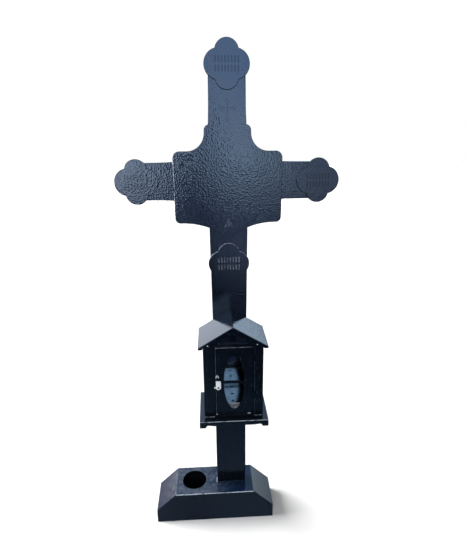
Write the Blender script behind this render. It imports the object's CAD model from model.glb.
import functools
import math

import bmesh
import bpy
from bpy.props import FloatProperty, FloatVectorProperty, IntProperty, PointerProperty
from mathutils import Matrix, Vector, noise


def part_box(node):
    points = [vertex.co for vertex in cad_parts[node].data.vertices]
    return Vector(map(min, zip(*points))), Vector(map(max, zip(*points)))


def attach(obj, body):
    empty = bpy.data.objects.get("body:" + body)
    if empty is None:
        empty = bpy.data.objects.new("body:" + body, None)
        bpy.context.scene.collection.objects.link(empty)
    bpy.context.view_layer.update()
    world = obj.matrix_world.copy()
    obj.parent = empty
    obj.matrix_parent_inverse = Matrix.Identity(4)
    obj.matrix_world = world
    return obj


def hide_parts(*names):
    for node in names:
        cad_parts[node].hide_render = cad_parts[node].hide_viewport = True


bl_info = {
    "name": "Grave Cross Dressing",
    "version": (1, 0, 0),
    "blender": (4, 5, 0),
    "location": "3D Viewport > Sidebar > Grave Cross",
    "description": "Dresses the iron grave cross and its candle lantern",
    "category": "Object",
}

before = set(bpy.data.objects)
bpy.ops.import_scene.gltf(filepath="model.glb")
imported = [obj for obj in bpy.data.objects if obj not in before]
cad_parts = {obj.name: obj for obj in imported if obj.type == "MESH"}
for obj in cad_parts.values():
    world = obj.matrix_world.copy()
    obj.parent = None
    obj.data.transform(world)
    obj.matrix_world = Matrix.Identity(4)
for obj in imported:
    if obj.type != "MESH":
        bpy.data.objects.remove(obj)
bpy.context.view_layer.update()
X, Y, Z = range(3)


def millimetres(value):
    return value / 1000


# Sizes and colours


def length_property(name, description, default):
    return FloatProperty(name=name, description=description, default=default, min=0.0001,
                         unit="LENGTH", subtype="DISTANCE")


class CrossSizes(bpy.types.PropertyGroup):
    """Sizes of the cross bars and the plates on them"""

    bar_edge: length_property("Bar edge radius", "Rounding of post and arms", 0.006)
    plate_edge: length_property("Plate edge radius", "Rounding of every plate's front edge", 0.0014)
    side_lobe: length_property("Side lobe radius", "Radius of an end plate's wide lobes", 0.038)
    side_lobe_offset: length_property("Side lobe offset", "Wide lobes from the middle", 0.022)
    tip_lobe: length_property("Tip lobe radius", "Radius of the upper and lower lobe", 0.032)
    tip_lobe_offset: length_property("Tip lobe offset", "Tip lobes from the middle", 0.0295)
    stroke_width: length_property("Stroke width", "Width of one worn stroke", 0.003)
    stroke_length: length_property("Stroke length", "Length of one worn stroke", 0.016)
    stroke_pitch: length_property("Stroke pitch", "Distance from stroke to stroke", 0.0085)
    stroke_row_gap: length_property("Row gap", "Clear distance between the rows", 0.006)
    stroke_count: IntProperty(
        name="Strokes in a row", description="Number of strokes in each row", default=8, min=1)
    stroke_depth: length_property("Stroke depth", "Depth of the worn strokes", 0.0013)
    relief_depth: length_property("Relief depth", "Depth of the ornaments", 0.0018)


class LanternSizes(bpy.types.PropertyGroup):
    """Sizes of the lantern's own details"""

    sheet_edge: length_property("Sheet edge radius", "Rounding of folded and cut edges", 0.0007)
    roof_edge: length_property("Roof edge radius", "Rounding of the roof's edges", 0.0012)
    shelf_edge: length_property("Shelf edge radius", "Rounding of the shelf's folded edges", 0.0014)
    door_edge: length_property("Door edge radius", "Rounding of the door leaf's rubbed edges", 0.0011)
    tray_edge: length_property("Tray edge radius", "Rounding of the candle tray's edges", 0.0004)
    fitting_edge: length_property("Fitting edge radius", "Rounding of hinges, catch and rivet", 0.0003)
    wire_edge: length_property("Wire edge radius", "Rounding of the wire eye's cut ends", 0.0001)
    zinc_run: length_property("Zinc run radius", "Run of zinc along the tray's front edge", 0.0014)
    foot_bead: length_property("Foot bead radius", "Weld beads at the lantern's foot", 0.0008)
    rivet_radius: length_property("Rivet radius", "Radius of the gable's rivet heads", 0.0015)


class PlinthSizes(bpy.types.PropertyGroup):
    """Sizes of the plinth's folds and welds"""

    fold: length_property("Fold radius", "Outer radius of the plinth's folded edges", 0.0025)
    sheet: length_property("Sheet", "Thickness of the plinth's steel sheet", 0.003)
    hole_radius: length_property("Vase hole radius", "Round hole for a flower vase", 0.0415)
    hole_edge: length_property("Vase hole edge", "Bevel round the vase hole", 0.0008)
    bead: length_property("Weld bead radius", "Mean radius of the bead on the front edge", 0.0012)
    upright_bead: length_property("Upright bead radius", "Bead up the post's left edge", 0.0016)
    foot_bead: length_property("Foot bead radius", "Bead round the post's foot", 0.0009)


def linear(hex_value):
    """An sRGB hex colour as linear red, green and blue"""
    parts = [int(hex_value[i:i + 2], 16) / 255 for i in (1, 3, 5)]
    return tuple(c / 12.92 if c <= 0.04045 else ((c + 0.055) / 1.055) ** 2.4 for c in parts)


def colour_property(name, description, hex_value):
    return FloatVectorProperty(
        name=name, description=description, size=3, subtype="COLOR", min=0, max=1,
        default=linear(hex_value))


class FinishColours(bpy.types.PropertyGroup):
    """Colours of the finishes"""

    coat: colour_property("Powder coat", "Main colour of the powder coat", "#03060b")
    coat_pale: colour_property("Powder coat, thin", "Powder coat where it lies thinner", "#070c15")
    coat_blue: colour_property("Powder coat, lit", "Coat on the plinth's top", "#08182e")
    fleck: colour_property("Flecks", "Small specks of grit on the coat", "#717c8e")
    dust: colour_property("Dust", "Dust and lime round the vase hole", "#6a6e76")
    haze: colour_property("Haze", "Thin dust on narrow ledges", "#4c5d74")
    zinc: colour_property("Galvanised sheet", "Zinc skin of the sheet inside the lantern", "#a3aeb4")
    zinc_dark: colour_property("Galvanised sheet, dark", "Darker zinc grains", "#929da4")
    bloom: colour_property("Zinc bloom", "Chalky zinc on cut and rubbed edges", "#abb5c2")
    plated: colour_property("Zinc plating", "Bright plating of the catch and the eye", "#f3f1ec")
    floor: colour_property("Floor", "Pale studio floor", "#f2f2f2")


# Materials


def add(tree, kind, inputs=(), links=(), **settings):
    """A node with its settings, socket values and links, as (socket name, from node, its socket)"""
    node = tree.nodes.new(kind)
    for key, value in settings.items():
        setattr(node, key, value)
    for key, value in dict(inputs).items():
        node.inputs[key].default_value = value
    for key, source, output in links:
        tree.links.new(source.outputs[output], node.inputs[key])
    return node


def finish(draw):
    """Turns a function that draws a finish's nodes into one that gives its material, made once"""
    @functools.wraps(draw)
    def material(*mark):
        name = "".join((draw.__name__, *mark))
        made = bpy.data.materials.get(name)
        if made is None:
            made = bpy.data.materials.new(name)
            made.use_nodes = True
            made.node_tree.nodes.clear()
            skin = draw(made.node_tree, bpy.context.scene.finish_colours, *mark)
            add(made.node_tree, "ShaderNodeOutputMaterial", links=[("Surface", skin, "BSDF")])
        return made
    return material


def rgba(colour):
    return (*colour, 1.0)


def per_metre(size_mm):
    """Noise scale whose grain is about size_mm wide, for coordinates in metres"""
    return 1000 / size_mm


# The middle of the vase hole, and what a coat's name says about its dust

VASE_HOLE = (-0.1305, 0.003)
DUST_BY_HOLE = "_dusty_by_vase_hole"
DUST_ON_LEDGE = "_hazy_ledge"


@finish
def powder_coated_steel(tree, colours, dust=""):
    """Glossy blue-black powder coat: its fine orange peel breaks every reflection into speckle.

    Peel and grit are drawn coarser than real ones, because finer ones don't show from the camera.
    """
    place = add(tree, "ShaderNodeTexCoord")
    here = [("Vector", place, "Object")]
    cloud = add(tree, "ShaderNodeTexNoise", {"Scale": per_metre(60), "Detail": 3}, here)
    shade = add(tree, "ShaderNodeMix", {"A": rgba(colours.coat), "B": rgba(colours.coat_pale)},
                [("Factor", cloud, "Fac")], data_type="RGBA")
    grit = add(tree, "ShaderNodeTexVoronoi", {"Scale": per_metre(8)}, here)
    speck = add(tree, "ShaderNodeMapRange", {"From Min": 0.15, "From Max": 0.10},
                [("Value", grit, "Distance")])
    chosen = add(tree, "ShaderNodeMapRange", {"From Min": 0.70, "From Max": 0.80, "To Max": 0.4},
                 [("Value", grit, "Color")])
    sparse = add(tree, "ShaderNodeMath", links=[(0, speck, "Result"), (1, chosen, "Result")],
                 operation="MULTIPLY")
    base = add(tree, "ShaderNodeMix", {"B": rgba(colours.fleck)},
               [("Factor", sparse, "Value"), ("A", shade, "Result")], data_type="RGBA")
    smudge = add(tree, "ShaderNodeTexNoise",
                 {"Scale": per_metre(22), "Detail": 6, "Roughness": 0.7}, here)
    if dust == DUST_BY_HOLE:
        tilt = add(tree, "ShaderNodeSeparateXYZ", links=[("Vector", place, "Normal")])
        upward = add(tree, "ShaderNodeMapRange", {"From Min": 0.3, "From Max": 0.9},
                     [("Value", tilt, "Z")])
        base = add(tree, "ShaderNodeMix", {"B": rgba(colours.coat_blue)},
                   [("Factor", upward, "Result"), ("A", base, "Result")], data_type="RGBA")
        settled = add(tree, "ShaderNodeMapRange",
                      {"From Min": 0.0, "From Max": 0.5, "To Min": 0.12}, [("Value", tilt, "Z")])
        away = add(tree, "ShaderNodeVectorMath", {1: (*VASE_HOLE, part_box("plinth")[1].z)},
                   [(0, place, "Object")], operation="DISTANCE")
        reach = add(tree, "ShaderNodeMapRange",
                    {"From Min": millimetres(150), "From Max": millimetres(60), "To Min": 0.02,
                     "To Max": 0.30}, [("Value", away, "Value")])
        patch = add(tree, "ShaderNodeMapRange", {"From Min": 0.40, "From Max": 0.62},
                    [("Value", smudge, "Fac")])
        lying = add(tree, "ShaderNodeMath", links=[(0, reach, "Result"), (1, settled, "Result")],
                    operation="MULTIPLY")
        amount = add(tree, "ShaderNodeMath", links=[(0, lying, "Value"), (1, patch, "Result")],
                     operation="MULTIPLY")
        base = add(tree, "ShaderNodeMix", {"B": rgba(colours.dust)},
                   [("Factor", amount, "Value"), ("A", base, "Result")], data_type="RGBA")
    if dust == DUST_ON_LEDGE:
        amount = add(tree, "ShaderNodeMapRange", {"To Min": 0.8, "To Max": 1.0},
                     [("Value", smudge, "Fac")])
        base = add(tree, "ShaderNodeMix", {"B": rgba(colours.haze)},
                   [("Factor", amount, "Result"), ("A", base, "Result")], data_type="RGBA")
    rough = add(tree, "ShaderNodeMapRange", {"To Min": 0.02, "To Max": 0.06},
                [("Value", smudge, "Fac")])
    peel = add(tree, "ShaderNodeTexVoronoi", {"Scale": per_metre(4.9)}, here)
    skin_height = add(tree, "ShaderNodeMath", links=[(0, sparse, "Value"), (1, peel, "Distance")],
                      operation="ADD")
    bump = add(tree, "ShaderNodeBump", {"Strength": 1.0, "Distance": millimetres(0.20)},
               [("Height", skin_height, "Value")])
    return add(tree, "ShaderNodeBsdfPrincipled", {"IOR": 1.5},
               [("Base Color", base, "Result"), ("Roughness", rough, "Result"),
                ("Normal", bump, "Normal")])


@finish
def bloomed_zinc_edge(tree, colours):
    """Cut or rubbed edge of the zinc-coated sheet: chalky pale zinc between dark rests of coat"""
    place = add(tree, "ShaderNodeTexCoord")
    here = [("Vector", place, "Object")]
    rests = add(tree, "ShaderNodeTexNoise",
                {"Scale": per_metre(9), "Detail": 4, "Roughness": 0.65}, here)
    bare = add(tree, "ShaderNodeMapRange", {"From Min": 0.36, "From Max": 0.52},
               [("Value", rests, "Fac")])
    shade = add(tree, "ShaderNodeMix", {"A": rgba(colours.coat), "B": rgba(colours.bloom)},
                [("Factor", bare, "Result")], data_type="RGBA")
    rough = add(tree, "ShaderNodeMapRange", {"To Min": 0.25, "To Max": 0.7},
                [("Value", bare, "Result")])
    return add(tree, "ShaderNodeBsdfPrincipled", {"IOR": 1.5},
               [("Base Color", shade, "Result"), ("Roughness", rough, "Result")])


@finish
def galvanised_steel(tree, colours):
    """Hot-dip galvanised sheet: a bright metal skin whose zinc grains differ a little in shade"""
    place = add(tree, "ShaderNodeTexCoord")
    here = [("Vector", place, "Object")]
    grain = add(tree, "ShaderNodeTexVoronoi", {"Scale": per_metre(9)}, here)
    shade = add(tree, "ShaderNodeMix", {"A": rgba(colours.zinc), "B": rgba(colours.zinc_dark)},
                [("Factor", grain, "Color")], data_type="RGBA")
    rough = add(tree, "ShaderNodeMapRange", {"To Min": 0.07, "To Max": 0.11},
                [("Value", grain, "Color")])
    return add(tree, "ShaderNodeBsdfPrincipled", {"Metallic": 1.0},
               [("Base Color", shade, "Result"), ("Roughness", rough, "Result")])


@finish
def zinc_plated_steel(tree, colours):
    """Bright zinc plating on small pressed parts: pale, with a soft sheen and faint rolling lines"""
    place = add(tree, "ShaderNodeTexCoord")
    here = [("Vector", place, "Object")]
    stretch = add(tree, "ShaderNodeMapping", {"Scale": (1.0, 1.0, 0.08)}, here)
    lines = add(tree, "ShaderNodeTexNoise", {"Scale": per_metre(0.6), "Detail": 2},
                [("Vector", stretch, "Vector")])
    rough = add(tree, "ShaderNodeMapRange", {"To Min": 0.4, "To Max": 0.6},
                [("Value", lines, "Fac")])
    return add(tree, "ShaderNodeBsdfPrincipled",
               {"Metallic": 0.4, "Base Color": rgba(colours.plated)},
               [("Roughness", rough, "Result")])


@finish
def matt_paper_floor(tree, colours):
    """Matt pale paper that takes the shadow and shows no sheen"""
    return add(tree, "ShaderNodeBsdfPrincipled",
               {"Base Color": rgba(colours.floor), "Roughness": 0.9, "Specular IOR Level": 0.0})


# Mesh building


def arc(cx, cz, radius, start, end, steps):
    angles = [start + (end - start) * i / steps for i in range(steps + 1)]
    return [(cx + radius * math.cos(a), cz + radius * math.sin(a)) for a in angles]


def without_repeats(points, gap=1e-6):
    kept = []
    for p in points:
        if not kept or math.dist(p, kept[-1]) > gap:
            kept.append(p)
    if math.dist(kept[0], kept[-1]) <= gap:
        kept.pop()
    return kept


def signed_area(points):
    return sum(a[0] * b[1] - b[0] * a[1] for a, b in zip(points, points[1:] + points[:1])) / 2


def inset(points, distance):
    """The outline moved inwards by a distance, corner by corner"""
    turn = 1 if signed_area(points) > 0 else -1
    moved = []
    for before, here, after in zip(points[-1:] + points[:-1], points, points[1:] + points[:1]):
        ax, az = here[0] - before[0], here[1] - before[1]
        bx, bz = after[0] - here[0], after[1] - here[1]
        la, lb = math.hypot(ax, az), math.hypot(bx, bz)
        nax, naz, nbx, nbz = -az / la, ax / la, -bz / lb, bx / lb
        share = turn * distance / max(0.3, 1 + nax * nbx + naz * nbz)
        moved.append((here[0] + (nax + nbx) * share, here[1] + (naz + nbz) * share))
    return moved


def new_object(name, data):
    made = bpy.data.objects.new(name, data)
    bpy.context.collection.objects.link(made)
    return made


def mesh_object(name, shape, *materials):
    """A bmesh as an object in the scene, in the part's own frame"""
    bmesh.ops.recalc_face_normals(shape, faces=shape.faces)
    mesh = bpy.data.meshes.new(name)
    shape.to_mesh(mesh)
    shape.free()
    for material in materials:
        mesh.materials.append(material)
    return new_object(name, mesh)


def flat_ring(shape, points, y):
    """One ring of vertices, its outline given in X and Z"""
    return [shape.verts.new((x, y, z)) for x, z in points]


def join_rings(shape, rings, closed=False):
    """Walls from ring to ring, and caps at both ends unless the last ring meets the first"""
    pairs = list(zip(rings, rings[1:])) + ([(rings[-1], rings[0])] if closed else [])
    for lower, upper in pairs:
        for i in range(len(lower)):
            k = (i + 1) % len(lower)
            shape.faces.new((lower[i], lower[k], upper[k], upper[i]))
    if not closed:
        shape.faces.new(rings[0])
        shape.faces.new(rings[-1])
    return shape


def prism(points, front, back):
    """A bmesh with one outline in X and Z, straight from front to back"""
    shape = bmesh.new()
    return join_rings(shape, [flat_ring(shape, points, y) for y in (front, back)])


def rounded_slab(points, back, front, rim, steps=4):
    """A flat plate drawn in X and Z, its front rim rounded over, as a bmesh"""
    shape = bmesh.new()
    rings = [flat_ring(shape, points, back)]
    for i in range(steps + 1):
        a = math.pi / 2 * i / steps
        outline = inset(points, rim * (1 - math.cos(a))) if i else points
        rings.append(flat_ring(shape, outline, front + rim * (1 - math.sin(a))))
    return join_rings(shape, rings)


def cut_prism(shape, points, face, depth, taper=0.25, above=0.001):
    """A cutter for one engraved form: full width at the face, a little narrower at its floor"""
    floor = inset(points, depth * taper)
    levels = [(points, face - above), (points, face), (floor, face + depth)]
    join_rings(shape, [flat_ring(shape, ring, y) for ring, y in levels])


def engrave(piece, cutter_shape):
    """Cuts a bmesh of closed forms out of a piece"""
    cutter = mesh_object("cutter", cutter_shape)
    cut = piece.modifiers.new("Engraving", "BOOLEAN")
    cut.operation, cut.solver = "DIFFERENCE", "EXACT"
    cut.use_self = True
    cut.object = cutter
    graph = bpy.context.evaluated_depsgraph_get()
    made = bpy.data.meshes.new_from_object(piece.evaluated_get(graph))
    piece.modifiers.clear()
    uncut, piece.data = piece.data, made
    bpy.data.meshes.remove(uncut)
    bpy.data.objects.remove(cutter)


def round_edges(shape, edges, width, steps):
    bmesh.ops.bevel(shape, geom=edges, offset=width, offset_type="OFFSET", segments=steps,
                    profile=0.5, affect="EDGES", clamp_overlap=True)


def smooth(piece, angle=32):
    """Shades rounded edges smooth and keeps large flat faces flat"""
    mesh = piece.data
    for polygon in mesh.polygons:
        polygon.use_smooth = True
    shape = bmesh.new()
    shape.from_mesh(mesh)
    for edge in shape.edges:
        edge.smooth = len(edge.link_faces) == 2 and edge.calc_face_angle(0) < math.radians(angle)
    shape.to_mesh(mesh)
    shape.free()
    weigh = piece.modifiers.new("Flat faces", "WEIGHTED_NORMAL")
    weigh.keep_sharp = True
    weigh.weight = 80


def finish_where(piece, material, chosen):
    """Gives another finish to the faces whose middle and normal pass a test"""
    piece.data.materials.append(material)
    index = len(piece.data.materials) - 1
    for polygon in piece.data.polygons:
        if chosen(polygon.center, polygon.normal):
            polygon.material_index = index


def near(value, level, within=0.002):
    return abs(value - level) < within


def finish_piece(piece, body, slot_name, *nodes, angle=32):
    """Smooths a piece, sets it on its body and puts it in the place of its CAD nodes"""
    smooth(piece, angle)
    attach(piece, body)
    if nodes:
        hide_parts(*nodes)


def softened(node, name, width, steps=2, coat=powder_coated_steel, sharp=25):
    """A CAD node's shape as a new piece with every sharp edge slightly rounded"""
    shape = bmesh.new()
    shape.from_mesh(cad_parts[node].data)
    bmesh.ops.remove_doubles(shape, verts=shape.verts, dist=1e-5)
    bmesh.ops.dissolve_limit(
        shape, angle_limit=math.radians(0.5), verts=shape.verts, edges=shape.edges)
    edges = [e for e in shape.edges
             if len(e.link_faces) == 2 and e.calc_face_angle(0) > math.radians(sharp)]
    round_edges(shape, edges, width, steps)
    return mesh_object(name, shape, coat())


def end_span(node, along, across):
    """Where a CAD node begins and ends across one axis, at its far end along another"""
    points = [v.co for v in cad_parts[node].data.vertices]
    far = max(p[along] for p in points)
    at_end = [p[across] for p in points if p[along] > far - 1e-4]
    return min(at_end), max(at_end)


# Outlines of the cross, its plates and its ornaments


def bar_outline(half_width, bottom, top, half_arm, arm_low, arm_high):
    return [(-half_width, bottom), (half_width, bottom), (half_width, arm_low),
            (half_arm, arm_low), (half_arm, arm_high), (half_width, arm_high),
            (half_width, top), (-half_width, top), (-half_width, arm_high),
            (-half_arm, arm_high), (-half_arm, arm_low), (-half_width, arm_low)]


def foil_cross(shape, x, z, half, foot, bar, foil, face, depth):
    """Two crossed bars with three round foils at each end, as cutters"""
    b = bar / 2
    for left, right, low, high in ((half, half, b, b), (b, b, foot, half)):
        cut_prism(shape, [(x - left, z - low), (x + right, z - low), (x + right, z + high),
                          (x - left, z + high)], face, depth)
    for ux, uz, reach in ((1, 0, half), (-1, 0, half), (0, 1, half), (0, -1, foot)):
        for ahead, aside in ((0.8, 0), (-0.5, 0.9), (-0.5, -0.9)):
            cx = x + ux * (reach + ahead * foil) + uz * aside * foil
            cz = z + uz * (reach + ahead * foil) + ux * aside * foil
            cut_prism(shape, arc(cx, cz, foil, 0, math.tau, 20)[:-1], face, depth)


def lobed_outline(x, z, sizes, steps=28):
    side, out = sizes.side_lobe, sizes.side_lobe_offset
    tip, up = sizes.tip_lobe, sizes.tip_lobe_offset
    span = math.hypot(out, up)
    along = (side ** 2 - tip ** 2 + span ** 2) / (2 * span)
    away = math.sqrt(side ** 2 - along ** 2)
    cusp_x = out + (-along * out + away * up) / span
    cusp_z = (along * up + away * out) / span
    a = math.atan2(cusp_z, cusp_x - out)
    b = math.atan2(cusp_z - up, cusp_x)
    return without_repeats(
        arc(x + out, z, side, -a, a, steps) + arc(x, z + up, tip, b, math.pi - b, steps)
        + arc(x - out, z, side, math.pi - a, math.pi + a, steps)
        + arc(x, z - up, tip, math.pi + b, math.tau - b, steps))


def stroke_cutters(x, z, face, sizes):
    """Two rows of shallow upright strokes that stand in the place of an inscription"""
    shape = bmesh.new()
    half = sizes.stroke_width / 2
    reach = sizes.stroke_length / 2 - half
    rise = (sizes.stroke_length + sizes.stroke_row_gap) / 2
    for row in (z + rise, z - rise):
        for i in range(sizes.stroke_count):
            cx = x + (i - (sizes.stroke_count - 1) / 2) * sizes.stroke_pitch
            ends = (arc(cx, row + reach, half, 0, math.pi, 6)
                    + arc(cx, row - reach, half, math.pi, math.tau, 6))
            cut_prism(shape, ends, face, sizes.stroke_depth, 0.5)
    return shape


def lobed_plate(node, rubbed):
    """One lobed plate; on a rubbed one zinc shows on its upper rim and strokes"""
    sizes = bpy.context.scene.cross_sizes
    low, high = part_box(node)
    x, _, z = (low + high) / 2
    piece = mesh_object("cut_" + node, rounded_slab(
        lobed_outline(x, z, sizes), high.y, low.y, sizes.plate_edge), powder_coated_steel())
    engrave(piece, stroke_cutters(x, z, low.y, sizes))
    if rubbed:
        deep = low.y + sizes.stroke_depth
        reach_x = sizes.stroke_count * sizes.stroke_pitch / 2
        reach_z = sizes.stroke_length + sizes.stroke_row_gap / 2
        finish_where(piece, bloomed_zinc_edge(), lambda c, n: (
            n.y < -0.05 and n.z > 0.25 or (
                low.y < c.y < deep and near(c.x, x, reach_x) and near(c.z, z, reach_z)
                and abs(n.y) < 0.95)))
    finish_piece(piece, "root", "paint", node)


def crest_outline(x, low, high, steps=14):
    """The crossing plate: neck, hollow shoulders, straight sides and a swept pointed foot"""
    q = math.pi / 2
    half = high.x - x
    neck, neck_corner, hollow, shoulder_corner = 0.064, 0.016, 0.048, 0.019
    foot_corner, flat, sweep = 0.015, 0.131, 0.208
    neck_height, side_height = 0.069, 0.197
    top = high.z
    shoulder = top - neck_height
    foot = shoulder - side_height
    turn = math.acos(flat / sweep)
    right = (arc(neck - neck_corner, top - neck_corner, neck_corner, q, 0, steps)
             + arc(neck + hollow, shoulder + hollow, hollow, 2 * q, 3 * q, steps)
             + arc(half - shoulder_corner, shoulder - shoulder_corner, shoulder_corner, q, 0, steps)
             + arc(half - foot_corner, foot + foot_corner, foot_corner, 0, -q, steps)
             + arc(flat, foot - sweep, sweep, q, math.pi - turn, 2 * steps))
    left = [(-px, pz) for px, pz in reversed(right)]
    return without_repeats([(x + px, pz) for px, pz in right + left])


def leaf_points(x, z, dx, dz, bow, inner=0.1, steps=10):
    """A leaf from one tip to the other, its edges bowed by two shares of one bow"""
    length = math.hypot(dx, dz)
    nx, nz = -dz / length * bow, dx / length * bow
    def curve(share, t):
        mx, mz = x + dx / 2 + nx * share, z + dz / 2 + nz * share
        return ((1 - t) ** 2 * x + 2 * t * (1 - t) * mx + t * t * (x + dx),
                (1 - t) ** 2 * z + 2 * t * (1 - t) * mz + t * t * (z + dz))
    out = [curve(1, i / steps) for i in range(steps)]
    return out + [curve(inner, 1 - i / steps) for i in range(steps)]


def cut_flower(shape, x, z, height, half_width, petal, face, depth):
    """An upright bud with a leaf that droops on either side, as cutters"""
    taper, side_start, drop = 0.3, 0.001, height * 0.72
    cut_prism(shape, leaf_points(x, z + petal, 0, height - petal, petal, -1), face, depth, taper)
    for side in (-1, 1):
        leaf = leaf_points(x + side * side_start, z + drop, side * half_width, -drop,
                           side * 2 * petal)
        cut_prism(shape, leaf, face, depth, taper)


def bead(shape, points, radius, grain, closed=False, sides=10, unevenness=0.35, ripple=0.12):
    """An uneven weld bead along a line of points"""
    rings = []
    count = len(points)
    for i, here in enumerate(points):
        before = points[i - 1] if i or closed else here
        after = points[(i + 1) % count] if i + 1 < count or closed else here
        along = (after - before).normalized()
        side = along.orthogonal().normalized()
        other = along.cross(side)
        ring = []
        for k in range(sides):
            a = math.tau * k / sides
            out = side * math.cos(a) + other * math.sin(a)
            swell = 1 + unevenness * noise.noise((here + out * radius) / grain)
            swell *= 1 + ripple * math.sin(i * 0.9)
            ring.append(shape.verts.new(here + out * radius * swell))
        rings.append(ring)
    join_rings(shape, rings, closed)


def rivet_head(shape, centre, radius, sides=16, rings=5, flatness=0.45):
    """A low dome that faces the front"""
    angles = [math.pi / 2 * k / rings for k in range(rings)]
    join_rings(shape, [flat_ring(
        shape, arc(centre.x, centre.z, radius * math.cos(a), 0, math.tau, sides)[:-1],
        centre.y - flatness * radius * math.sin(a)) for a in angles])


def steps_along(a, b, spacing):
    a, b = Vector(a), Vector(b)
    count = max(2, int((b - a).length / spacing))
    return [a.lerp(b, i / count) for i in range(count + 1)]


def bead_piece(name, coat, body, slot_name, runs, spacing=0.002):
    """Straight beads as one piece; a run is its start, end, radius and grain"""
    shape = bmesh.new()
    for start, end, radius, grain in runs:
        bead(shape, steps_along(start, end, spacing), radius, grain)
    finish_piece(mesh_object(name, shape, coat()), body, slot_name, angle=60)


# Operators


class CROSS_OT_bars(bpy.types.Operator):
    """Post and arms as one rounded box section, with the ornaments cut in"""

    bl_idname = "cross.bars"
    bl_label = "Post and arms"

    def execute(self, context):
        sizes = context.scene.cross_sizes
        low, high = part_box("cross")
        arm_low, arm_high = end_span("cross", X, Z)
        half_post = end_span("cross", Z, X)[1]
        shape = prism(bar_outline(half_post, low.z, high.z, high.x, arm_low, arm_high),
                      low.y, high.y)
        long_edges = [
            e for e in shape.edges if near(e.verts[0].co.y, e.verts[1].co.y, 1e-6)
            and not any(all(near(v.co[axis], end, 1e-6) for v in e.verts)
                        for axis, ends in ((X, (low.x, high.x)), (Z, (low.z, high.z)))
                        for end in ends)]
        round_edges(shape, long_edges, sizes.bar_edge, 6)
        piece = mesh_object("post_and_arms", shape, powder_coated_steel())
        cutters = bmesh.new()
        foil_cross(cutters, x=0, z=1.341, half=0.018, foot=0.030, bar=0.003, foil=0.003,
                   face=low.y, depth=sizes.relief_depth)
        foil_cross(cutters, x=0, z=0.792, half=0.031, foot=0.036, bar=0.007, foil=0.005,
                   face=low.y, depth=sizes.relief_depth)
        engrave(piece, cutters)
        finish_piece(piece, "root", "paint", "cross")
        return {"FINISHED"}


class CROSS_OT_end_plates(bpy.types.Operator):
    """The four lobed plates with their worn rows of strokes"""

    bl_idname = "cross.end_plates"
    bl_label = "Lobed plates"

    def execute(self, context):
        for node in ("top_plate", "left_arm_plate", "right_arm_plate", "lower_plate"):
            lobed_plate(node, rubbed=node == "lower_plate")
        return {"FINISHED"}


class CROSS_OT_crossing_plate(bpy.types.Operator):
    """The shaped plate over the crossing, with its small cut flower"""

    bl_idname = "cross.crossing_plate"
    bl_label = "Crossing plate"

    def execute(self, context):
        sizes = context.scene.cross_sizes
        low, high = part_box("crossing_plate")
        x = (low.x + high.x) / 2
        half_post = end_span("cross", Z, X)[1]
        flower_z, flower_height, flower_reach = 1.019, 0.030, 0.020
        piece = mesh_object("cut_crossing_plate", rounded_slab(
            crest_outline(x, low, high), high.y, low.y, sizes.plate_edge), powder_coated_steel())
        cutters = bmesh.new()
        cut_flower(cutters, x, flower_z, flower_height, half_width=0.011, petal=0.0035,
                   face=low.y, depth=sizes.relief_depth)
        engrave(piece, cutters)
        finish_where(piece, bloomed_zinc_edge(), lambda c, n: (
            low.y < c.y < low.y + sizes.relief_depth and near(c.x, x, flower_reach)
            and near(c.z, flower_z + flower_height / 2, flower_reach) and abs(n.y) < 0.95))
        finish_where(piece, powder_coated_steel(DUST_ON_LEDGE), lambda c, n: (
            near(c.z, high.z, 0.003) and n.z > 0.1 and near(c.x, x, half_post)))
        finish_where(piece, bloomed_zinc_edge(), lambda c, n: near(c.x, low.x, 0.003) and n.x < -0.05)
        finish_piece(piece, "root", "paint", "crossing_plate")
        return {"FINISHED"}


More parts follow.
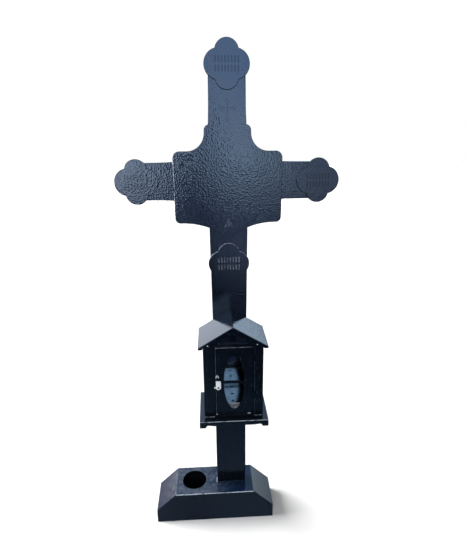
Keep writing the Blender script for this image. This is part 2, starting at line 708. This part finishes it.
class CROSS_OT_plinth(bpy.types.Operator):
    """The folded plinth, its vase hole and its ground weld seams"""

    bl_idname = "cross.plinth"
    bl_label = "Plinth"

    def execute(self, context):
        sizes = context.scene.plinth_sizes
        low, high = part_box("plinth")
        shoulder = end_span("plinth", X, Z)[1]
        top_left, top_right = end_span("plinth", Z, X)
        run = top_left - low.x
        shape = prism([(low.x, low.z), (high.x, low.z), (high.x, shoulder), (top_right, high.z),
                       (top_left, high.z), (low.x, shoulder)], low.y, high.y)
        folds = [e for e in shape.edges if max(v.co.z for v in e.verts) > low.z + 1e-4]
        round_edges(shape, folds, sizes.fold, 4)
        piece = mesh_object("folded_plinth", shape, powder_coated_steel(DUST_BY_HOLE))
        t = sizes.sheet
        slope = (high.z - shoulder) / run
        stretch = math.hypot(1, slope)
        inner_shoulder = shoulder - t * (stretch - slope)
        inner_run = run + t * (stretch - 1) / slope
        engrave(piece, prism([
            (low.x + t, t), (high.x - t, t), (high.x - t, inner_shoulder),
            (high.x - inner_run, high.z - t), (low.x + inner_run, high.z - t),
            (low.x + t, inner_shoulder)], low.y + t, high.y - t))
        hole = bmesh.new()
        r, edge = sizes.hole_radius, sizes.hole_edge
        levels = [(r, high.z - 2 * t), (r, high.z - edge), (r + edge, high.z),
                  (r + edge, high.z + t)]
        join_rings(hole, [[hole.verts.new((x, y, z)) for x, y in
                           arc(*VASE_HOLE, radius, 0, math.tau, 96)[:-1]] for radius, z in levels])
        engrave(piece, hole)
        finish_piece(piece, "root", "paint", "plinth")
        self.welds(sizes, low, high, run)
        return {"FINISHED"}

    def welds(self, sizes, low, high, run):
        half_post = end_span("cross", Z, X)[1]
        post_front, post_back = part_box("cross")[0].y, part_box("cross")[1].y
        sunk, clear, upright = 0.0009, 0.001, 0.018
        seam_y, seam_z = low.y + sunk, high.z - sunk
        foot = Vector((-half_post - 0.0005, post_front - 0.0002, high.z + 0.0005))
        bead_piece("rubbed_plinth_welds", bloomed_zinc_edge, "root", "paint", (
            ((low.x + run + clear, seam_y, seam_z), (high.x - run - clear, seam_y, seam_z),
             sizes.bead, 0.007),
            (foot, foot + Vector((0, 0, upright)), sizes.upright_bead, 0.005)))
        ring = bmesh.new()
        z = high.z + 0.0004
        corners = [(-half_post, post_front, z), (half_post, post_front, z),
                   (half_post, post_back, z), (-half_post, post_back, z)]
        loop = []
        for start, end in zip(corners, corners[1:] + corners[:1]):
            loop += steps_along(start, end, 0.003)[:-1]
        bead(ring, loop, sizes.foot_bead, 0.012, closed=True)
        weld = mesh_object("post_foot_weld", ring, powder_coated_steel())
        finish_piece(weld, "root", "paint", angle=60)


class CROSS_OT_lantern(bpy.types.Operator):
    """The lantern's shelf, body, roof and candle tray"""

    bl_idname = "cross.lantern"
    bl_label = "Lantern"

    def execute(self, context):
        sizes = context.scene.lantern_sizes
        shelf = softened("lantern_shelf", "lantern_bracket_shelf", sizes.shelf_edge, 3)
        shelf_low, shelf_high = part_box("lantern_shelf")
        finish_where(shelf, bloomed_zinc_edge(), lambda c, n: (
            near(c.z, shelf_high.z) and near(c.y, shelf_low.y) and 0.15 < n.z < 0.95))
        finish_piece(shelf, "root", "paint", "lantern_shelf")
        roof = softened("lantern_roof", "lantern_gabled_roof", sizes.roof_edge, 3)
        finish_piece(roof, "root", "paint", "lantern_roof")

        body = softened("lantern_body", "lantern_box", sizes.sheet_edge)
        low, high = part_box("lantern_body")
        inner_low = low + Vector((0.0015, 0.0045, 0.0100))
        inner_high = high - Vector((0.0015, 0.0015, 0.0030))
        finish_where(body, galvanised_steel(), lambda c, n: all(
            inner_low[axis] < c[axis] < inner_high[axis] for axis in (X, Y, Z)))
        door_low, door_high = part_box("lantern_door")
        jamb = door_high.x + 0.007
        finish_where(body, powder_coated_steel(DUST_ON_LEDGE), lambda c, n: (
            near(c.x, jamb, 0.0012) and n.x < -0.3 and near(c.y, low.y)))
        finish_piece(body, "root", "paint", "lantern_body")

        tray = softened("candle_tray", "candle_shelf", sizes.tray_edge, coat=galvanised_steel)
        tray_low, tray_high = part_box("candle_tray")
        finish_where(tray, bloomed_zinc_edge(), lambda c, n: near(c.y, tray_low.y) and n.y < -0.3)
        finish_piece(tray, "root", "zinc", "candle_tray")
        clear, sunk = 0.002, 0.0006
        run_y, run_z = tray_low.y + sunk, tray_high.z - sunk
        bead_piece("tray_edge_zinc_run", zinc_plated_steel, "root", "zinc", (
            ((tray_low.x + clear, run_y, run_z), (tray_high.x - clear, run_y, run_z),
             sizes.zinc_run, 0.006),))

        level, clear, door_gap = low.z + 0.0006, 0.001, 0.004
        bead_piece("lantern_foot_welds", bloomed_zinc_edge, "root", "paint", [
            ((start + clear, low.y, level), (end - clear, low.y, level), sizes.foot_bead, 0.006)
            for start, end in ((low.x, door_low.x - door_gap), (jamb, high.x))])
        heads = bmesh.new()
        for x in (low.x + 0.014, high.x - 0.018):
            rivet_head(heads, Vector((x, low.y, door_high.z + 0.008)), sizes.rivet_radius)
        rivets = mesh_object("gable_rivets", heads, zinc_plated_steel())
        finish_piece(rivets, "root", "zinc", angle=60)
        return {"FINISHED"}


class CROSS_OT_door(bpy.types.Operator):
    """The lantern door with its window, hinges, catch and eye"""

    bl_idname = "cross.door"
    bl_label = "Lantern door"

    def execute(self, context):
        sizes = context.scene.lantern_sizes
        door = softened("lantern_door", "lantern_door_leaf", sizes.door_edge, 3)
        low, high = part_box("lantern_door")
        window_foot = low.z + 0.026
        finish_where(door, bloomed_zinc_edge(), lambda c, n: (
            n.z > 0.15 and near(c.z, high.z) or n.x < -0.15 and near(c.x, low.x)
            or n.z > 0.3 and near(c.z, window_foot, 0.006)))
        finish_where(door, galvanised_steel(), lambda c, n: n.y > 0.9 and near(c.y, high.y, 0.0005))
        finish_piece(door, "door", "paint", "lantern_door")
        level = low.z + 0.004
        bead_piece("door_corner_tacks", bloomed_zinc_edge, "door", "paint", [
            ((start, low.y, level), (end, low.y, level), radius, 0.005) for start, end, radius in (
                (high.x - 0.012, high.x - 0.004, 0.0013), (low.x, low.x + 0.003, 0.0011))],
            spacing=0.0015)
        for level in ("upper", "lower"):
            for side, body in (("frame", "root"), ("door", "door")):
                node = f"hinge_{level}_{side}_leaf"
                hinge = softened(node, node.replace("leaf", "knuckle"), sizes.fitting_edge)
                finish_piece(hinge, body, "paint", node)
        catch = softened("latch_plate", "turning_catch", sizes.fitting_edge, coat=zinc_plated_steel)
        finish_piece(catch, "latch", "zinc", "latch_plate")
        finish_piece(softened("latch_rivet", "catch_rivet", sizes.fitting_edge),
                     "door", "paint", "latch_rivet")
        finish_piece(softened("door_eye", "wire_eye", sizes.wire_edge, coat=zinc_plated_steel),
                     "door", "zinc", "door_eye")
        return {"FINISHED"}


class CROSS_OT_stage(bpy.types.Operator):
    """Pale floor, soft light, and the camera where the photograph was taken from"""

    bl_idname = "cross.stage"
    bl_label = "Stage"

    def execute(self, context):
        scene = context.scene
        stage_floor()
        stage_world(scene)
        stage_light()
        stage_camera(scene)
        scene.view_settings.view_transform = "Standard"
        scene.view_settings.look = "None"
        return {"FINISHED"}


def stage_floor():
    shape = bmesh.new()
    bmesh.ops.create_grid(shape, x_segments=1, y_segments=1, size=30)
    floor = mesh_object("floor", shape, matt_paper_floor())
    floor.visible_glossy = False


# What glossy surfaces mirror. SKY and SKY_BEHIND: light by the sine of its height above the horizon.
# SKYLINE: how far that height is shifted in front of the cross, by the sine of the direction.
# TINT and TINT_BEHIND: the share of the light, by the sine of the direction.

SKYLINE_REACH = 0.2
SKY_STRENGTH = 5.4
SKY = (
    (-1.00, (0.11, 0.17, 0.26)), (-0.73, (0.17, 0.26, 0.41)), (-0.63, (0.08, 0.18, 0.30)),
    (-0.54, (0.02, 0.03, 0.06)), (-0.42, (0.01, 0.02, 0.05)), (-0.37, (0.03, 0.06, 0.14)),
    (-0.335, (0.04, 0.08, 0.20)), (-0.31, (0.46, 0.64, 1.14)), (-0.22, (0.68, 0.98, 1.66)),
    (-0.125, (0.12, 0.28, 0.70)), (-0.095, (2.45, 3.40, 5.00)), (-0.03, (2.45, 3.55, 5.35)),
    (0.05, (1.90, 2.85, 4.60)), (0.18, (1.52, 2.65, 4.90)), (0.37, (1.40, 2.45, 4.60)),
    (0.44, (0.10, 0.14, 0.22)), (1.00, (0.08, 0.10, 0.16)),
)
SKY_BEHIND = (
    (-1.00, (0.15, 0.22, 0.34)), (-0.30, (0.05, 0.08, 0.14)), (-0.12, (0.10, 0.15, 0.25)),
    (-0.03, (0.90, 1.05, 1.30)), (0.04, (1.75, 2.00, 2.35)), (0.10, (1.50, 1.85, 2.45)),
    (0.45, (1.35, 1.75, 2.45)), (0.70, (1.25, 1.60, 2.25)), (1.00, (1.30, 1.50, 1.90)),
)
SKYLINE = (
    (-0.60, 0.02), (-0.22, 0.03), (-0.125, 0.01), (-0.10, -0.12), (-0.085, -0.20),
    (-0.04, -0.16), (0.0, -0.055), (0.03, -0.015), (0.15, 0.0), (0.18, 0.05), (0.30, 0.05),
    (0.40, 0.0),
)
TINT_STRENGTH = 1.8
TINT = (
    (-0.80, (0.06, 0.07, 0.09)), (-0.52, (0.10, 0.11, 0.14)), (-0.38, (1.00, 0.90, 0.80)),
    (-0.20, (1.38, 1.20, 1.10)), (-0.128, (1.78, 1.68, 1.58)), (-0.10, (1.40, 1.34, 1.30)),
    (-0.082, (0.38, 0.40, 0.52)), (-0.04, (0.90, 0.90, 0.94)), (0.02, (1.04, 1.04, 1.04)),
    (0.13, (1.08, 1.06, 1.02)), (0.175, (0.32, 0.33, 0.34)), (0.22, (0.46, 0.44, 0.44)),
    (0.30, (0.40, 0.37, 0.39)), (0.52, (0.08, 0.09, 0.12)), (0.80, (0.05, 0.06, 0.08)),
)
TINT_BEHIND = (
    (-0.69, (1.25, 1.03, 0.92)), (-0.35, (1.34, 1.20, 1.06)), (-0.06, (0.80, 0.80, 0.76)),
    (0.03, (0.12, 0.16, 0.24)), (0.10, (0.35, 0.44, 0.50)), (0.20, (0.60, 0.68, 0.72)),
    (0.35, (0.74, 0.80, 0.80)), (0.69, (1.10, 1.18, 1.12)),
)


def stage_world(scene):
    """White for the camera, an even light for matt surfaces, and for gloss a sky over dark ground"""
    world = bpy.data.worlds.new("studio_sky")
    world.use_nodes = True
    tree = world.node_tree
    tree.nodes.clear()
    scene.world = world
    place = add(tree, "ShaderNodeTexCoord")
    axes = add(tree, "ShaderNodeSeparateXYZ", links=[("Vector", place, "Generated")])

    # What lies ahead of the cross or far to its sides, and near the horizon or lower
    ahead = add(tree, "ShaderNodeMapRange", {"From Min": 0.15, "From Max": -0.15},
                [("Value", axes, "Y")])
    aside = add(tree, "ShaderNodeMath", links=[(0, axes, "X")], operation="ABSOLUTE")
    flank = add(tree, "ShaderNodeMapRange", {"From Min": 0.86, "From Max": 0.94},
                [("Value", aside, "Value")])
    around = add(tree, "ShaderNodeMath", links=[(0, ahead, "Result"), (1, flank, "Result")],
                 operation="MAXIMUM")
    low = add(tree, "ShaderNodeMapRange", {"From Min": 0.40, "From Max": 0.25},
              [("Value", axes, "Z")])
    close_by = add(tree, "ShaderNodeMath", links=[(0, around, "Value"), (1, low, "Result")],
                   operation="MULTIPLY")

    # The height above the skyline
    across = add(tree, "ShaderNodeMapRange", {"From Min": -1, "From Max": 1},
                 [("Value", axes, "X")])
    hills = add(tree, "ShaderNodeValToRGB", links=[("Fac", across, "Result")])
    set_ramp(hills, [(x, [shift / SKYLINE_REACH / 2 + 0.5] * 3) for x, shift in SKYLINE])
    shift = add(tree, "ShaderNodeMapRange", {"To Min": -SKYLINE_REACH, "To Max": SKYLINE_REACH},
                [("Value", hills, "Color")])
    raised = add(tree, "ShaderNodeMath", links=[
        (0, shift, "Result"), (1, close_by, "Value"), (2, axes, "Z")], operation="MULTIPLY_ADD")
    height = add(tree, "ShaderNodeMapRange", {"From Min": -1, "From Max": 1},
                 [("Value", raised, "Value")])

    # The light by height, and its share by direction
    sky, sky_behind, share, share_behind = (
        add(tree, "ShaderNodeValToRGB", links=[("Fac", source, "Result")])
        for source in (height, height, across, across))
    set_ramp(sky, SKY, SKY_STRENGTH)
    set_ramp(sky_behind, SKY_BEHIND, SKY_STRENGTH)
    set_ramp(share, TINT, TINT_STRENGTH)
    set_ramp(share_behind, TINT_BEHIND, TINT_STRENGTH)
    light = add(tree, "ShaderNodeMix", links=[
        ("Factor", ahead, "Result"), ("A", sky_behind, "Color"), ("B", sky, "Color")],
        data_type="RGBA")
    far = add(tree, "ShaderNodeMix", {"B": rgba([1 / TINT_STRENGTH] * 3)},
              [("Factor", ahead, "Result"), ("A", share_behind, "Color")], data_type="RGBA")

    # Low behind the cross and not far to its sides the ground is dark
    narrow = add(tree, "ShaderNodeMapRange", {"From Min": 0.62, "From Max": 0.52},
                 [("Value", aside, "Value")])
    hidden = add(tree, "ShaderNodeMapRange", {"To Min": 1.0, "To Max": 0.0},
                 [("Value", ahead, "Result")])
    core = add(tree, "ShaderNodeMath", links=[(0, narrow, "Result"), (1, hidden, "Result")],
               operation="MULTIPLY")
    level = add(tree, "ShaderNodeMapRange", {"From Min": 0.08, "From Max": 0.04},
                [("Value", axes, "Z")])
    low_core = add(tree, "ShaderNodeMath", links=[(0, core, "Value"), (1, level, "Result")],
                   operation="MULTIPLY")
    shut = add(tree, "ShaderNodeMix", {"B": rgba([0.05 / TINT_STRENGTH] * 3)},
               [("Factor", low_core, "Value"), ("A", far, "Result")], data_type="RGBA")
    tint = add(tree, "ShaderNodeMix", links=[
        ("Factor", close_by, "Value"), ("A", shut, "Result"), ("B", share, "Color")],
        data_type="RGBA")
    mirrored = add(tree, "ShaderNodeMix", {"Factor": 1.0},
                   [("A", light, "Result"), ("B", tint, "Result")],
                   data_type="RGBA", blend_type="MULTIPLY")

    gloss = add(tree, "ShaderNodeBackground", {"Strength": SKY_STRENGTH * TINT_STRENGTH},
                [("Color", mirrored, "Result")])
    even, white = (
        add(tree, "ShaderNodeBackground", {"Color": (1, 1, 1, 1), "Strength": strength})
        for strength in (0.12, 1.0))
    path = add(tree, "ShaderNodeLightPath")
    seen = add(tree, "ShaderNodeMixShader", links=[
        (0, path, "Is Glossy Ray"), (1, even, 0), (2, gloss, 0)])
    final = add(tree, "ShaderNodeMixShader", links=[
        (0, path, "Is Camera Ray"), (1, seen, 0), (2, white, 0)])
    add(tree, "ShaderNodeOutputWorld", links=[("Surface", final, 0)])
    world.cycles.sampling_method = "NONE"


def set_ramp(node, stops, full=1.0):
    """Stops of a ramp over -1 to 1; full is the value that it holds as 1"""
    elements = node.color_ramp.elements
    while len(elements) > 1:
        elements.remove(elements[-1])
    for i, (place, colour) in enumerate(stops):
        position = (place + 1) / 2
        stop = elements.new(position) if i else elements[0]
        stop.position = position
        stop.color = rgba([c / full for c in colour])


def stage_light():
    """A wide soft light from the left, a weak one from the front, and two softboxes for the inside"""
    sun("soft_key", 8.6, 46, (-14, -62))
    sun("front_fill", 1.05, 30, (50, -10))
    softbox("strip_softbox", Vector((0.0, -0.848, 0.53)), (0.60, 1.40), -23, 1.6, (0.86, 0.90, 1.0))
    softbox("wide_softbox", Vector((0.06, -0.845, 0.54)), (1.10, 0.90), 0, 1.9, (0.36, 0.66, 1.0))


def new_light(name, kind, power):
    data = bpy.data.lights.new(name, kind)
    data.energy = power
    return new_object(name, data)


def sun(name, power, width, tilt):
    """Light from far away that nothing mirrors, its width and its tilts in degrees"""
    light = new_light(name, "SUN", power)
    light.data.angle = math.radians(width)
    light.rotation_euler = (math.radians(tilt[X]), math.radians(tilt[Y]), 0)
    light.visible_glossy = False


def softbox(name, towards, size, roll, power, colour, distance=5, window_z=0.60):
    """A rectangular light that faces the lantern's window from some metres away"""
    light = new_light(name, "AREA", power)
    light.data.shape = "RECTANGLE"
    light.data.size, light.data.size_y = size
    light.data.color = colour
    place = Vector((0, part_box("lantern_body")[0].y, window_z)) + towards * distance
    aim = towards.to_track_quat("Z", "Y").to_matrix().to_4x4()
    light.matrix_world = (
        Matrix.Translation(place) @ aim @ Matrix.Rotation(math.radians(roll), 4, "Z"))


# The camera fitted to the photograph's edges: metres, degrees, and pixels of a picture this high

CAMERA_PLACE = (-0.051806, -1.187421, 1.247104)
CAMERA_YAW, CAMERA_PITCH, CAMERA_ROLL = 3.170594, 17.440988, 0.478762
FOCAL_PIXELS, HEIGHT_PIXELS = 412.212, 550


def stage_camera(scene):
    """The fitted camera, which looks down and a little to the right"""
    yaw, pitch, roll = (math.radians(a) for a in (CAMERA_YAW, CAMERA_PITCH, CAMERA_ROLL))
    flat = math.cos(pitch)
    ahead = Vector((math.sin(yaw) * flat, math.cos(yaw) * flat, -math.sin(pitch)))
    right = ahead.cross(Vector((0, 0, 1))).normalized()
    down = ahead.cross(right)
    right_rolled = right * math.cos(roll) + down * math.sin(roll)
    down_rolled = down * math.cos(roll) - right * math.sin(roll)
    data = bpy.data.cameras.new("camera")
    data.sensor_width = 36
    data.lens = FOCAL_PIXELS / HEIGHT_PIXELS * data.sensor_width
    data.clip_start, data.clip_end = 0.05, 100
    camera = new_object("camera", data)
    turn = Matrix((right_rolled, -down_rolled, -ahead)).transposed().to_4x4()
    camera.matrix_world = Matrix.Translation(CAMERA_PLACE) @ turn
    scene.camera = camera


class CROSS_PT_panel(bpy.types.Panel):
    """Lists the pieces, sizes and colours"""

    bl_idname = "CROSS_PT_panel"
    bl_label = "Grave Cross"
    bl_space_type = "VIEW_3D"
    bl_region_type = "UI"
    bl_category = "Grave Cross"

    def draw(self, context):
        layout = self.layout
        for step in STEPS:
            layout.operator(step.bl_idname)
        for attribute in GROUPS:
            box = layout.box()
            settings = getattr(context.scene, attribute)
            for key in settings.bl_rna.properties.keys():
                if key not in ("rna_type", "name"):
                    box.prop(settings, key)


GROUPS = {
    "cross_sizes": CrossSizes,
    "lantern_sizes": LanternSizes,
    "plinth_sizes": PlinthSizes,
    "finish_colours": FinishColours,
}
STEPS = (CROSS_OT_bars, CROSS_OT_end_plates, CROSS_OT_crossing_plate, CROSS_OT_plinth,
         CROSS_OT_lantern, CROSS_OT_door, CROSS_OT_stage)


def register():
    for cls in (*GROUPS.values(), *STEPS, CROSS_PT_panel):
        bpy.utils.register_class(cls)
    for attribute, cls in GROUPS.items():
        setattr(bpy.types.Scene, attribute, PointerProperty(type=cls))


def unregister():
    for attribute in GROUPS:
        delattr(bpy.types.Scene, attribute)
    for cls in (CROSS_PT_panel, *reversed(STEPS), *reversed(GROUPS.values())):
        bpy.utils.unregister_class(cls)


def main():
    register()
    for step in STEPS:
        group, name = step.bl_idname.split(".")
        getattr(getattr(bpy.ops, group), name)()


if __name__ == "__main__":
    main()
